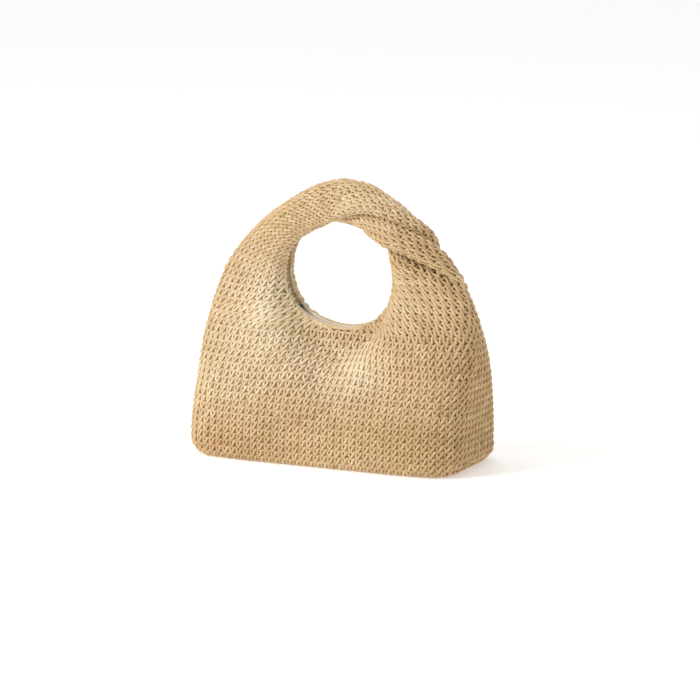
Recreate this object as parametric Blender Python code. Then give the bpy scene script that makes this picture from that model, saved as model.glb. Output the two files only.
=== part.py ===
"""Crocheted straw hobo bag, modelled at real size.

World frame: +Z up, X across the bag's width, -Y is the front, origin at the
centre of the underside.  Lengths below are in millimetres and are turned into
metres by MM where the meshes are made.
"""
import math

import bmesh
import bpy
import numpy as np
from mathutils import Vector

MM = 0.001

# ---------------------------------------------------------------- dimensions
FABRIC = 4.5          # thickness of the crocheted fabric
LINING_IN = 6.3       # lining's outer face, measured inwards from the outside
LINING_T = 0.8
BASE_ROUND = 12.0     # radius of the bottom edge
BASE_T = 4.5
HOLE_Z = 213.0        # centre height of the hand hole
HOLE_A_LEFT, HOLE_A_RIGHT = 72.5, 67.0
HOLE_LOW, HOLE_UP = 58.0, 66.0
RIM_HALF_GAP = 11.5   # outside of the front rim to the middle plane
PINCH_RISE, PINCH_RUN = 80.0, 45.0
PINCH_FLAT = 31.0     # flattened depth below the rim, at the snap
HINGE_Z = 182.0       # line about which the handle flops
HINGE_CLEAR = 0.6
HINGE_CUT = math.radians(22.0)
LEAN = 2.0            # the upper bag leans this far towards +X, the foot away
PULL_R = 11.0

# key widths: (height, half width), (height, half depth), (height, squareness)
HALF_WIDTH = ((0, 170), (20, 172.5), (60, 172.5), (100, 172.5), (135, 172), (160, 168.5), (185, 162.5), (213, 152.5))
HALF_DEPTH = ((0, 74), (40, 73), (90, 67), (130, 56), (160, 46), (185, 38), (213, 32))
SQUARENESS = ((0, 6.5), (40, 6.0), (90, 4.8), (130, 3.8), (160, 3.1), (213, 2.3))
# handle: (angle, outer radius from the hole's centre), (angle, half depth)
OUTER_RADIUS = ((0, 152.5), (9, 140.5), (18, 130.0), (30, 120.0), (43, 113.6), (61, 112), (75, 115), (90, 117.5))
HANDLE_DEPTH = ((0, 27), (50, 25), (90, 23.5))
# one full turn of the handle, as (position along it in degrees, turn in degrees)
TWIST = ((35, 0), (60, 10), (85, 40), (112, 94), (135, 142), (150, 180), (166, 228), (180, 272), (192, 318), (204, 352), (212, 360))
SLIT = ((-30, 11.5), (0, 11.0), (30, 8.0), (60, 3.5), (85, 1.0), (165, 1.0), (185, 7.0), (200, 11.5), (212, 11.5))
FOLD_OPEN = ((-5, 0), (30, 6), (60, 12.5), (150, 12.5), (180, 7), (198, 0))
FOLD_EDGE = ((40, 0), (80, 9), (105, 12.5), (165, 12), (182, 8), (196, 0))
FOLD_WIDTH = 9.5
DEG_MM = 1.9          # one degree along the handle, on its middle line


# ------------------------------------------------------------------- helpers
def curve(x, points):
    """Smooth monotone curve through the key points."""
    p = np.array(points, float)
    px, py = p[:, 0], p[:, 1]
    h = np.diff(px)
    dl = np.diff(py) / h
    m = np.zeros(len(px))
    m[0], m[-1] = dl[0], dl[-1]
    for i in range(1, len(px) - 1):
        if dl[i - 1] * dl[i] > 0:
            a, b = 2 * h[i] + h[i - 1], h[i] + 2 * h[i - 1]
            m[i] = (a + b) / (a / dl[i - 1] + b / dl[i])
    x = np.clip(np.asarray(x, float), px[0], px[-1])
    k = np.clip(np.searchsorted(px, x, side="right") - 1, 0, len(px) - 2)
    t = (x - px[k]) / h[k]
    return (
        py[k] * (2 * t**3 - 3 * t**2 + 1)
        + m[k] * h[k] * (t**3 - 2 * t**2 + t)
        + py[k + 1] * (-2 * t**3 + 3 * t**2)
        + m[k + 1] * h[k] * (t**3 - t**2)
    )


def ease(a, b, x):
    t = np.clip((np.asarray(x, float) - a) / (b - a), 0, 1)
    return t * t * (3 - 2 * t)


def soft_min(a, b, k=4.0):
    a = np.maximum(a, 1e-6)
    return (a**-k + b**-k) ** (-1 / k)


def round_in(z):
    t = np.clip((BASE_ROUND - np.asarray(z, float)) / BASE_ROUND, 0, 1)
    return BASE_ROUND * (1 - np.sqrt(1 - t * t))


def half_width(z):
    return curve(z, HALF_WIDTH) - round_in(z)


def half_depth(z):
    return curve(z, HALF_DEPTH) - round_in(z)


def hole_a(side):
    return HOLE_A_LEFT if side < 0 else HOLE_A_RIGHT


def hole_r(th, side):
    """Radius of the hole at this angle above the horizontal, in degrees."""
    a = np.radians(th)
    c, s = np.abs(np.cos(a)), np.sin(a)
    v = np.where(s > 0, HOLE_UP, HOLE_LOW)
    n = np.where(s > 0, 2.15, 2.0)
    return 1.0 / ((c / hole_a(side)) ** n + (np.abs(s) / v) ** n) ** (1 / n)


def hole_x(z, side):
    t = np.clip((HOLE_Z - np.asarray(z, float)) / HOLE_LOW, -1, 1)
    return hole_a(side) * np.sqrt(np.maximum(0, 1 - t * t)) * (np.asarray(z) > HOLE_Z - HOLE_LOW)


def from_rim(x, z, side):
    """Distance outside the hole's rim, in the bag's middle plane."""
    dz = z - HOLE_Z
    th = np.degrees(np.arctan2(dz, np.abs(x) + 1e-9))
    return np.maximum(0, np.hypot(x, dz) - hole_r(th, side))


def pinch(rho):
    return RIM_HALF_GAP + PINCH_RISE * (1 - np.exp(-np.maximum(rho, 0) / PINCH_RUN))


def wall_y(x, z, side):
    """Half depth of the outside of the body at |x|, z."""
    w, d, n = half_width(z), half_depth(z), curve(z, SQUARENESS)
    envelope = d * np.maximum(0, 1 - np.minimum(1, np.abs(x) / w) ** n) ** (1 / n)
    rho = from_rim(x, z, side)
    flat = PINCH_FLAT * np.exp(-((x / 50.0) ** 2)) * ease(HOLE_Z - 20, HOLE_Z - HOLE_LOW, z)
    rho = ((rho - flat) + np.sqrt((rho - flat) ** 2 + 9)) / 2
    return soft_min(envelope, pinch(rho) + 60 * ease(100, 20, z), 6.0)


def lean(z):
    return -LEAN + 2 * LEAN * ease(20, 130, z)


# ------------------------------------------------- sections of strap and handle
ARC_SAMPLES = 97


def position(kind, p, side):
    """Place along the handle, in degrees from the left end of its arc."""
    if kind == "turn":
        return p
    return -(HOLE_Z - p) / DEG_MM if side < 0 else 180 + (HOLE_Z - p) / DEG_MM


def half_section(kind, p, side):
    """(r, y) from the hole side to the outer edge."""
    t = np.linspace(0, 1, ARC_SAMPLES)
    q = np.sin(t * math.pi / 2) ** 1.15
    if kind == "level":
        xi, w = float(hole_x(p, side)), float(half_width(p))
        r = xi + (w - xi) * q
        y = wall_y(r, np.full_like(r, p), side)
        y[-1] = 0
        return r, y
    s = -1 if p <= 90 else 1
    th = p if p <= 90 else 180 - p
    mix = float(ease(60, 90, th))
    ri = float(hole_r(th, s)) * (1 - mix) + HOLE_UP * mix
    ro = float(curve(th, OUTER_RADIUS))
    r = ri + (ro - ri) * q
    d, n = float(curve(213, HALF_DEPTH)), float(curve(213, SQUARENESS))
    envelope = d * np.maximum(0, 1 - (r / ro) ** n) ** (1 / n)
    flat0 = soft_min(envelope, pinch(r - ri), 6.0)
    flat0[-1] = 0
    m = float(ease(4, 48, th))
    b = float(curve(th, HANDLE_DEPTH))
    tube = b * np.maximum(0, 1 - np.abs(2 * q - 1) ** 2.15) ** (1 / 2.15)
    return r, (1 - m) * flat0 + m * tube


def ring(kind, p, side):
    """Closed outline from the middle of the hole side, round by the front
    (y < 0), the outer edge and the back: points, inward normals, lengths."""
    r, y = half_section(kind, p, side)
    pts = np.concatenate([
        [[r[0], 0.0]],
        np.stack([r, -y], 1)[: -1],
        [[r[-1], 0.0]],
        np.stack([r, y], 1)[:-1][::-1],
        [[r[0], 0.0]],
    ])
    step = np.hypot(*np.diff(pts, axis=0).T)
    keep = np.concatenate([[True], step > 1e-6])
    pts = pts[keep]
    lengths = np.concatenate([[0], np.cumsum(np.hypot(*np.diff(pts, axis=0).T))])
    return pts, lengths


def ring_at(kind, p, side, sigma):
    """Points and inward normals at these fractions of the outline's length."""
    pts, lengths = ring(kind, p, side)
    total = lengths[-1]
    even = np.linspace(0, total, 241)
    q = np.stack([np.interp(even, lengths, pts[:, i]) for i in (0, 1)], 1)
    for _ in range(3):
        body = (np.roll(q[:-1], 1, 0) + 2 * q[:-1] + np.roll(q[:-1], -1, 0)) / 4
        q = np.concatenate([body, body[:1]])
    tan = np.roll(q[:-1], -1, 0) - np.roll(q[:-1], 1, 0)
    tan = np.concatenate([tan, tan[:1]])
    tan /= np.linalg.norm(tan, axis=1)[:, None]
    nor = np.stack([-tan[:, 1], tan[:, 0]], 1)
    mid = q[:-1].mean(0)
    if np.sum((mid - q) * nor) < 0:
        nor = -nor
    s = np.mod(sigma, 1.0) * total
    at = np.stack([np.interp(s, even, q[:, i]) for i in (0, 1)], 1)
    n = np.stack([np.interp(s, even, nor[:, i]) for i in (0, 1)], 1)
    return at, n / np.linalg.norm(n, axis=1)[:, None], total


def gap_to(sigma, mark, total):
    d = np.abs(np.mod(sigma - mark + 0.5, 1.0) - 0.5)
    return d * total


def folded(kind, p, side, u, inset):
    """(r, y) of the handle's fabric at u, -1 at its front free edge, 0 at its
    outer edge and 1 at its back free edge, this far inside the outside."""
    t = position(kind, p, side)
    turn = float(curve(t, TWIST)) / 360.0
    _, _, total = ring_at(kind, p, side, np.zeros(1))
    slit = float(curve(t, SLIT)) / total
    sigma = 0.5 + 0.5 * u * (1 - 2 * slit) + turn
    at, n, total = ring_at(kind, p, side, sigma)
    a = float(curve(t, FOLD_OPEN)) * np.exp(-((gap_to(sigma, turn, total) / FOLD_WIDTH) ** 2))
    b = float(curve(t, FOLD_EDGE)) * np.exp(-((gap_to(sigma, turn + 0.5, total) / FOLD_WIDTH) ** 2))
    step = 0.004
    def moved(s):
        p0, n0, _ = ring_at(kind, p, side, s)
        w = float(curve(t, FOLD_OPEN)) * np.exp(-((gap_to(s, turn, total) / FOLD_WIDTH) ** 2)) \
            + float(curve(t, FOLD_EDGE)) * np.exp(-((gap_to(s, turn + 0.5, total) / FOLD_WIDTH) ** 2))
        return p0 + n0 * w[:, None]
    point = at + n * (a + b)[:, None]
    tan = moved(sigma + step) - moved(sigma - step)
    tan /= np.linalg.norm(tan, axis=1)[:, None]
    nor = np.stack([-tan[:, 1], tan[:, 0]], 1)
    flip = np.sum(nor * n, axis=1) < 0
    nor[flip] = -nor[flip]
    return point + nor * inset


def to_world(kind, p, side, r, y):
    if kind == "level":
        out = np.stack([side * r, y, np.full_like(r, p)], -1)
    else:
        a = math.radians(p)
        out = np.stack([-math.cos(a) * r, y, HOLE_Z + math.sin(a) * r], -1)
    out[..., 0] += lean(out[..., 2])
    return out


# -------------------------------------------------------------------- meshes
for old in list(bpy.data.objects):
    bpy.data.objects.remove(old, do_unlink=True)


def material(name, colour, rough, metal=0.0):
    m = bpy.data.materials.get(name) or bpy.data.materials.new(name)
    m.use_nodes = True
    b = m.node_tree.nodes["Principled BSDF"]
    b.inputs["Base Color"].default_value = (*colour, 1)
    b.inputs["Roughness"].default_value = rough
    b.inputs["Metallic"].default_value = metal
    return m


STRAW = material("straw", (0.68, 0.50, 0.31), 0.75)
LININGS = material("lining", (0.80, 0.74, 0.62), 0.85)
BOARD = material("board", (0.45, 0.36, 0.26), 0.9)
COTTON = material("cotton", (0.78, 0.72, 0.60), 0.9)
STEEL = material("snap_metal", (0.72, 0.70, 0.66), 0.3, 1.0)
MAGNET = material("magnet", (0.18, 0.18, 0.19), 0.45, 0.6)
ZIP = material("zip_tape", (0.74, 0.66, 0.52), 0.8)
COIL = material("zip_coil", (0.70, 0.62, 0.48), 0.5)


def link(name, mesh, mat):
    obj = bpy.data.objects.new(name, mesh)
    bpy.context.scene.collection.objects.link(obj)
    mesh.materials.append(mat)
    return obj


def from_bmesh(name, bm, mat, smooth=True):
    bmesh.ops.recalc_face_normals(bm, faces=bm.faces[:])
    mesh = bpy.data.meshes.new(name)
    bm.to_mesh(mesh)
    bm.free()
    if smooth:
        mesh.shade_smooth()
        mesh.set_sharp_from_angle(angle=math.radians(40))
    return link(name, mesh, mat)


def thick_sheet(name, outer, inner, faces, mat):
    """Closes two matching point sets into one solid: the faces of the outer,
    those of the inner turned round, and a wall along every open edge."""
    n = len(outer)
    # the same diagonal on both sides keeps neighbouring layers parallel
    faces = [t for a, b, c, d in faces for t in ([a, b, c], [a, c, d])]
    bm = bmesh.new()
    vs = [bm.verts.new(Vector(p) * MM) for p in np.concatenate([outer, inner])]
    for f in faces:
        bm.faces.new([vs[i] for i in f])
        bm.faces.new([vs[i + n] for i in reversed(f)])
    count = {}
    for f in faces:
        for a, b in zip(f, f[1:] + f[:1]):
            count.setdefault((min(a, b), max(a, b)), []).append((a, b))
    for pairs in count.values():
        if len(pairs) == 1:
            a, b = pairs[0]
            bm.faces.new([vs[b], vs[a], vs[a + n], vs[b + n]])
    used = [v for v in bm.verts if not v.link_faces]
    bmesh.ops.delete(bm, geom=used, context="VERTS")
    return from_bmesh(name, bm, mat)


def section_normals(x, y):
    """Unit normals of a section curve, pointing into the bag."""
    tx, ty = np.gradient(x), np.gradient(y)
    ln = np.hypot(tx, ty) + 1e-12
    nx, ny = -ty / ln, tx / ln
    flip = (nx * -x + ny * -y) < 0
    # the inside is where |y| gets smaller, or |x| at the outer edge
    return np.where(flip, -nx, nx), np.where(flip, -ny, ny)


def body_grid(face, side, levels, cols, inset, top_cut):
    """Rows of points of one half (side) of the front (face -1) or back."""
    t = np.linspace(0, 1, cols)
    q = np.sin(t * math.pi / 2) ** 1.05
    rows = []
    for k, z0 in enumerate(levels):
        z = np.full(cols, float(z0))
        if top_cut and z0 > HOLE_Z - HOLE_LOW:
            share = (z0 - (HOLE_Z - HOLE_LOW)) / (levels[-1] - (HOLE_Z - HOLE_LOW))
            for _ in range(12):
                xi, w = hole_x(z, side), half_width(z)
                y = wall_y(xi + (w - xi) * q, z, side)
                z = 0.5 * z + 0.5 * (z0 - share * (y * math.tan(HINGE_CUT)))
        z = np.maximum(z, HOLE_Z - HOLE_LOW) if z0 > HOLE_Z - HOLE_LOW else z
        xi, w = hole_x(z, side), half_width(z)
        x = xi + (w - xi) * q
        y = wall_y(x, z, side)
        y = np.maximum(y, 0.2)
        y[-1] = 0.2
        # in-plane normal from a finely sampled section at this level
        fine = np.linspace(0, 1, 60)
        fx = float(xi.mean()) + (float(w.mean()) - float(xi.mean())) * np.sin(fine * math.pi / 2) ** 1.05
        fy = wall_y(fx, np.full(60, float(z.mean())), side)
        fy[-1] = 0
        tx, ty = np.gradient(fx), np.gradient(fy)
        nx, ny = ty, -tx
        ln = np.hypot(nx, ny)
        nx, ny = np.interp(t, fine, nx / ln), np.interp(t, fine, ny / ln)
        nx[0] *= 0.0
        ln = np.hypot(nx, ny)
        nx, ny = nx / ln, ny / ln
        nx[-1], ny[-1] = -1.0, 0.0
        x2, y2 = x + nx * inset, y + ny * inset
        x2[0] = x[0]
        y2 = np.maximum(y2, 0.2)
        y2[-1] = 0.2
        pts = np.stack([side * x2, face * y2, z], 1)
        pts[:, 0] += lean(pts[:, 2])
        rows.append(pts)
    return rows


def panel(name, face, levels, cols, outer_in, thickness, mat, top_cut):
    """Front or back panel: the two halves share the middle line below the
    hole and part above it."""
    sets = []
    for inset in (outer_in, outer_in + thickness):
        left = body_grid(face, -1, levels, cols, inset, top_cut)
        right = body_grid(face, 1, levels, cols, inset, top_cut)
        sets.append(np.concatenate([np.concatenate(left), np.concatenate(right)]))
    n = cols * len(levels)
    low = [k for k, z in enumerate(levels) if z <= HOLE_Z - HOLE_LOW + 1e-6]

    def index(half, k, i):
        if half and i == 0 and k in low:
            return k * cols
        return half * n + k * cols + i

    faces = []
    for half in (0, 1):
        for k in range(len(levels) - 1):
            for i in range(cols - 1):
                f = [index(half, k, i), index(half, k, i + 1), index(half, k + 1, i + 1), index(half, k + 1, i)]
                faces.append(f if half else f[::-1])
    return thick_sheet(name, sets[0], sets[1], faces, mat)


rim_low = HOLE_Z - HOLE_LOW
phi = np.radians([0, 14, 26, 38, 49, 58])
body_levels = [5.0, 9.0, 14.0, 40.0, 66.0, 88.0, 106.0, 120.0, 132.0, 147.0]
strap_levels = list(rim_low + (HINGE_Z - HINGE_CLEAR - rim_low) * (1 - np.cos(phi * 90 / 58)))
panel_levels = body_levels + strap_levels
panel("front_panel", -1, panel_levels, 13, 0.0, FABRIC, STRAW, True)
panel("back_panel", 1, panel_levels, 13, 0.0, FABRIC, STRAW, True)

lining_levels = body_levels[1:]
panel("lining_front", -1, lining_levels, 13, LINING_IN, LINING_T, LININGS, False)
panel("lining_back", 1, lining_levels, 13, LINING_IN, LINING_T, LININGS, False)


def outline(z, inset, count):
    """Closed plan outline at this height."""
    t = np.linspace(0, 1, count)
    q = np.sin(t * math.pi / 2) ** 1.05
    w, d, n = float(half_width(z)), float(half_depth(z)), float(curve(z, SQUARENESS))
    x = w * q
    y = d * np.maximum(0, 1 - q**n) ** (1 / n)
    scale_x, scale_y = (w - inset) / w, (d - inset) / d
    x, y = x * scale_x, y * scale_y
    y[-1] = 0
    quarter = list(zip(x, y))
    pts = [(a, -b) for a, b in quarter]
    pts += [(a, b) for a, b in quarter[::-1]][1:]
    pts += [(-a, b) for a, b in quarter][1:]
    pts += [(-a, -b) for a, b in quarter[::-1]][1:-1]
    return np.array(pts)


def plate(name, layers, mat, count=11):
    """Solid through these (height, height of its outline, inset) layers."""
    bm = bmesh.new()
    loops = []
    for z, shape_z, inset in layers:
        loops.append([bm.verts.new(Vector((x + float(lean(shape_z)), y, z)) * MM) for x, y in outline(shape_z, inset, count)])
    for a, b in zip(loops, loops[1:]):
        m = len(a)
        for i in range(m):
            bm.faces.new([a[i], a[(i + 1) % m], b[(i + 1) % m], b[i]])
    bm.faces.new(loops[0][::-1])
    bm.faces.new(loops[-1])
    return from_bmesh(name, bm, mat)


plate("base_panel", [(0.0, 0.0, 0.0), (1.5, 1.5, 0.0), (BASE_T, BASE_T, 0.0)], STRAW)
plate("base_board", [(4.9, 5.0, 11.0), (7.3, 5.0, 11.0)], BOARD)
plate("lining_base", [(7.7, 9.0, 7.6), (8.6, 9.0, 7.6)], LININGS)


def tube(name, points, radius, mat, resolution=2, closed=False):
    c = bpy.data.curves.new(name, "CURVE")
    c.dimensions = "3D"
    c.bevel_depth = radius * MM
    c.bevel_resolution = resolution
    c.use_fill_caps = not closed
    s = c.splines.new("POLY")
    s.points.add(len(points) - 1)
    for sp, p in zip(s.points, points):
        sp.co = (*(Vector(p) * MM), 1)
    s.use_cyclic_u = closed
    c.materials.append(mat)
    obj = bpy.data.objects.new(name, c)
    bpy.context.scene.collection.objects.link(obj)
    return obj


ring_points = [(x + float(lean(6)), y, 6.3) for x, y in outline(6.0, 7.4, 12)]
tube("base_seam", ring_points, 1.1, COTTON, 1, True)


def seam_strip(name, side):
    """Sewn allowance inside a side line, between the panels and the lining."""
    zs = np.linspace(14, 132, 8)
    bm = bmesh.new()
    rows = []
    for z in zs:
        w = float(half_width(z))
        x0, x1 = w - FABRIC - 0.55, w - FABRIC - 1.45
        rows.append([bm.verts.new(Vector((side * x + float(lean(z)), y, z)) * MM) for x, y in ((x0, -3), (x0, 3), (x1, 3), (x1, -3))])
    for a, b in zip(rows, rows[1:]):
        for i in range(4):
            bm.faces.new([a[i], a[(i + 1) % 4], b[(i + 1) % 4], b[i]])
    bm.faces.new(rows[0][::-1])
    bm.faces.new(rows[-1])
    return from_bmesh(name, bm, COTTON, False)


seam_strip("side_seam_left", -1)
seam_strip("side_seam_right", 1)


def mouth_edge(name, face):
    """Finished edge round the lower half of the hole."""
    r_cord = 1.5
    y = face * (RIM_HALF_GAP - FABRIC / 2)
    z_end = HINGE_Z - HINGE_CLEAR - (RIM_HALF_GAP + 1) * math.tan(HINGE_CUT) - 1.5
    pts = []
    for side in (-1, 1):
        a_end = math.degrees(math.asin((z_end - HOLE_Z) / HOLE_LOW))
        arc = np.linspace(a_end, -90, 13)
        row = []
        for a in arc:
            rr = float(hole_r(a, side)) - r_cord - 0.6
            x = side * rr * math.cos(math.radians(a))
            z = HOLE_Z + rr * math.sin(math.radians(a))
            row.append((x + float(lean(z)), y, z))
        pts.append(row)
    tube(name, pts[0] + pts[1][::-1][1:], r_cord, STRAW, 1)


mouth_edge("mouth_edge_front", -1)
mouth_edge("mouth_edge_back", 1)


# -------------------------------------------------------------------- handle
def handle_rows(half):
    """Stations of one half of the handle, from its root to the top."""
    side = -1 if half == "left" else 1
    levels = [("level", z, side) for z in (HINGE_Z + HINGE_CLEAR, 189.0, 197.0, 205.0)]
    turns = np.linspace(0, 90 - 0.25, 15)
    turns = turns if side < 0 else 180 - turns
    return side, levels + [("turn", float(t), side) for t in turns]


def handle(name, half):
    side, stations = handle_rows(half)
    u = np.linspace(-1, 1, 23)
    sets = []
    for inset in (0.0, FABRIC):
        rows = []
        for k, (kind, p, s) in enumerate(stations):
            if kind == "level":
                # the root is cut back to a blunt wedge so that it can flop
                share = 1 - (p - HINGE_Z - HINGE_CLEAR) / (HOLE_Z - HINGE_Z - HINGE_CLEAR)
                base = folded(kind, p, s, u, 0.0)
                z = p + share * np.abs(base[:, 1]) * math.tan(HINGE_CUT)
                row = []
                for i, zi in enumerate(z):
                    at = folded(kind, float(min(zi, HOLE_Z - 0.5 * share)), s, u[i:i + 1], inset)
                    row.append(to_world(kind, float(zi), s, at[:, 0], at[:, 1])[0])
                rows.append(np.array(row))
            else:
                at = folded(kind, p, s, u, inset)
                rows.append(to_world(kind, p, s, at[:, 0], at[:, 1]))
        sets.append(np.concatenate(rows))
    cols = len(u)
    faces = []
    for k in range(len(stations) - 1):
        for i in range(cols - 1):
            f = [k * cols + i, k * cols + i + 1, (k + 1) * cols + i + 1, (k + 1) * cols + i]
            faces.append(f if side > 0 else f[::-1])
    return thick_sheet(name, sets[0], sets[1], faces, STRAW)


handle("handle_left", "left")
handle("handle_right", "right")


def middle(t):
    """Point on the handle's middle line."""
    if 0 <= t <= 180:
        r, y = half_section("turn", t, 1)
        return to_world("turn", t, 1, np.array([(r[0] + r[-1]) / 2]), np.zeros(1))[0]
    side = -1 if t < 0 else 1
    z = HOLE_Z + t * DEG_MM if t < 0 else HOLE_Z - (t - 180) * DEG_MM
    r, y = half_section("level", z, side)
    return to_world("level", z, side, np.array([(r[0] + r[-1]) / 2]), np.zeros(1))[0]


tube("handle_core", [tuple(middle(t)) for t in np.linspace(-5, 185, 34)], 4.0, COTTON, 2)


def seam_ring(name):
    """Sewn join of the two handle halves, inside the top of the handle."""
    u = np.linspace(-0.9, 0.9, 17)
    sets = []
    for inset in (FABRIC + 1.6, FABRIC + 2.6):
        rows = []
        for p in (88.0, 90.0, 92.0):
            at = folded("turn", p, 1, u, inset)
            rows.append(to_world("turn", p, 1, at[:, 0], at[:, 1]))
        sets.append(np.concatenate(rows))
    cols = len(u)
    faces = [[k * cols + i, k * cols + i + 1, (k + 1) * cols + i + 1, (k + 1) * cols + i][::-1] for k in range(2) for i in range(cols - 1)]
    return thick_sheet(name, sets[0], sets[1], faces, COTTON)


seam_ring("handle_seam")


# --------------------------------------------------------------- magnetic snap
SNAP_Z = 141.0
SNAP_X = float(lean(SNAP_Z))


def turned(name, profile, mat, x=SNAP_X, z=SNAP_Z, steps=24):
    """Solid turned about an axis along Y: profile of (radius, y) points,
    closed, each radius above zero, or zero at both ends."""
    bm = bmesh.new()
    hollow = all(r > 0 for r, _ in profile)
    rings = []
    for r, y in profile:
        if r == 0:
            rings.append([bm.verts.new(Vector((x, y, z)) * MM)])
            continue
        rings.append([
            bm.verts.new(Vector((x + r * math.cos(2 * math.pi * k / steps), y, z + r * math.sin(2 * math.pi * k / steps))) * MM)
            for k in range(steps)
        ])
    pairs = list(zip(rings, rings[1:])) + ([(rings[-1], rings[0])] if hollow else [])
    for a, b in pairs:
        for k in range(steps):
            j = (k + 1) % steps
            if len(a) == 1:
                bm.faces.new([a[0], b[j], b[k]])
            elif len(b) == 1:
                bm.faces.new([a[k], a[j], b[0]])
            else:
                bm.faces.new([a[k], a[j], b[j], b[k]])
    return from_bmesh(name, bm, mat)


turned("snap_socket", [(0, -4.1), (8.6, -4.1), (9.0, -3.7), (9.0, -0.5), (8.7, -0.2), (7.8, -0.2), (7.8, -3.1), (0, -3.1)], STEEL)
turned("snap_magnet", [(2.6, -2.7), (7.4, -2.7), (7.4, -0.5), (2.6, -0.5)], MAGNET)
turned("snap_stud", [(0, -2.2), (1.9, -2.2), (2.1, -2.0), (2.1, 0.2), (8.7, 0.2), (9.0, 0.5), (9.0, 3.8), (8.7, 4.1), (0, 4.1)], STEEL)
turned("snap_washer_front", [(2.5, -6.5), (6.0, -6.5), (6.0, -6.05), (2.5, -6.05)], STEEL)
turned("snap_washer_back", [(2.5, 6.05), (6.0, 6.05), (6.0, 6.5), (2.5, 6.5)], STEEL)


def box(name, centre, size, mat, bevel=0.0):
    bm = bmesh.new()
    bmesh.ops.create_cube(bm, size=1.0)
    for v in bm.verts:
        v.co = Vector([c * MM + a * s * MM for c, a, s in zip(centre, v.co, size)])
    obj = from_bmesh(name, bm, mat, False)
    if bevel:
        m = obj.modifiers.new("round", "BEVEL")
        m.width = bevel * MM
        m.segments = 2
    return obj


box("snap_patch_front", (SNAP_X, -6.86, SNAP_Z), (18, 0.3, 14), COTTON)
box("snap_patch_back", (SNAP_X, 6.86, SNAP_Z), (18, 0.3, 14), COTTON)

# ----------------------------------------------------------- inner zip pocket
ZIP_Y = 40.0
ZIP_Z = 84.0
ZIP_HALF = 70.0
COIL_R = 0.95
COIL_STEP = 2 * COIL_R + 0.3
SLIDER_X = -60.0


def pouch():
    """Flat pouch, open at its top."""
    bm = bmesh.new()
    bmesh.ops.create_cube(bm, size=1.0)
    w, t, z0, z1 = 152.0, 4.4, 26.0, ZIP_Z - 10.0
    for v in bm.verts:
        v.co = Vector((v.co.x * w, ZIP_Y + v.co.y * t, z0 if v.co.z < 0 else z1)) * MM
    top = max(bm.faces, key=lambda f: f.calc_center_median().z)
    bmesh.ops.inset_individual(bm, faces=[top], thickness=0.9 * MM)
    out = bmesh.ops.extrude_face_region(bm, geom=[top])
    new = [g for g in out["geom"] if isinstance(g, bmesh.types.BMVert)]
    bmesh.ops.translate(bm, vec=Vector((0, 0, -(z1 - z0 - 1.2) * MM)), verts=new)
    bmesh.ops.delete(bm, geom=[top], context="FACES_ONLY")
    return from_bmesh("pocket_pouch", bm, LININGS, False)


pouch()
half_step = COIL_STEP / 2
tape = 7.0
box("zip_tape_lower", (0, ZIP_Y, ZIP_Z - half_step - COIL_R - 0.3 - tape / 2), (156, 0.8, tape), ZIP)
box("zip_tape_upper", (0, ZIP_Y, ZIP_Z + half_step + COIL_R + 0.3 + tape / 2), (156, 0.8, tape), ZIP)
for label, z in (("lower", ZIP_Z - half_step), ("upper", ZIP_Z + half_step)):
    tube("zip_coil_" + label, [(-ZIP_HALF, ZIP_Y, z), (0, ZIP_Y, z), (ZIP_HALF, ZIP_Y, z)], COIL_R, COIL, 1)
for label, x in (("left", -ZIP_HALF - 2.2), ("right", ZIP_HALF + 2.2)):
    box("zip_stop_" + label, (x, ZIP_Y, ZIP_Z), (3.0, 1.8, 3.6), STEEL, 0.3)


def slider():
    """Plate with a pin on its face, the pull turning on the pin."""
    y1 = ZIP_Y - COIL_R - 0.35
    y0 = y1 - 1.2
    plate_obj = box("zip_slider", (SLIDER_X, (y0 + y1) / 2, ZIP_Z), (9.0, y1 - y0, 7.4), STEEL, 0.35)
    pin = turned("slider_pin", [(0, y0 - 2.6), (2.2, y0 - 2.6), (2.2, y0 - 2.0), (1.2, y0 - 2.0), (1.2, y0 + 0.6), (0, y0 + 0.6)], STEEL, SLIDER_X, ZIP_Z - 1.0, 16)
    pin.hide_render = True
    pin.display_type = "WIRE"
    m = plate_obj.modifiers.new("pin", "BOOLEAN")
    m.operation = "UNION"
    m.object = pin
    return y0


face_y = slider()


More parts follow.
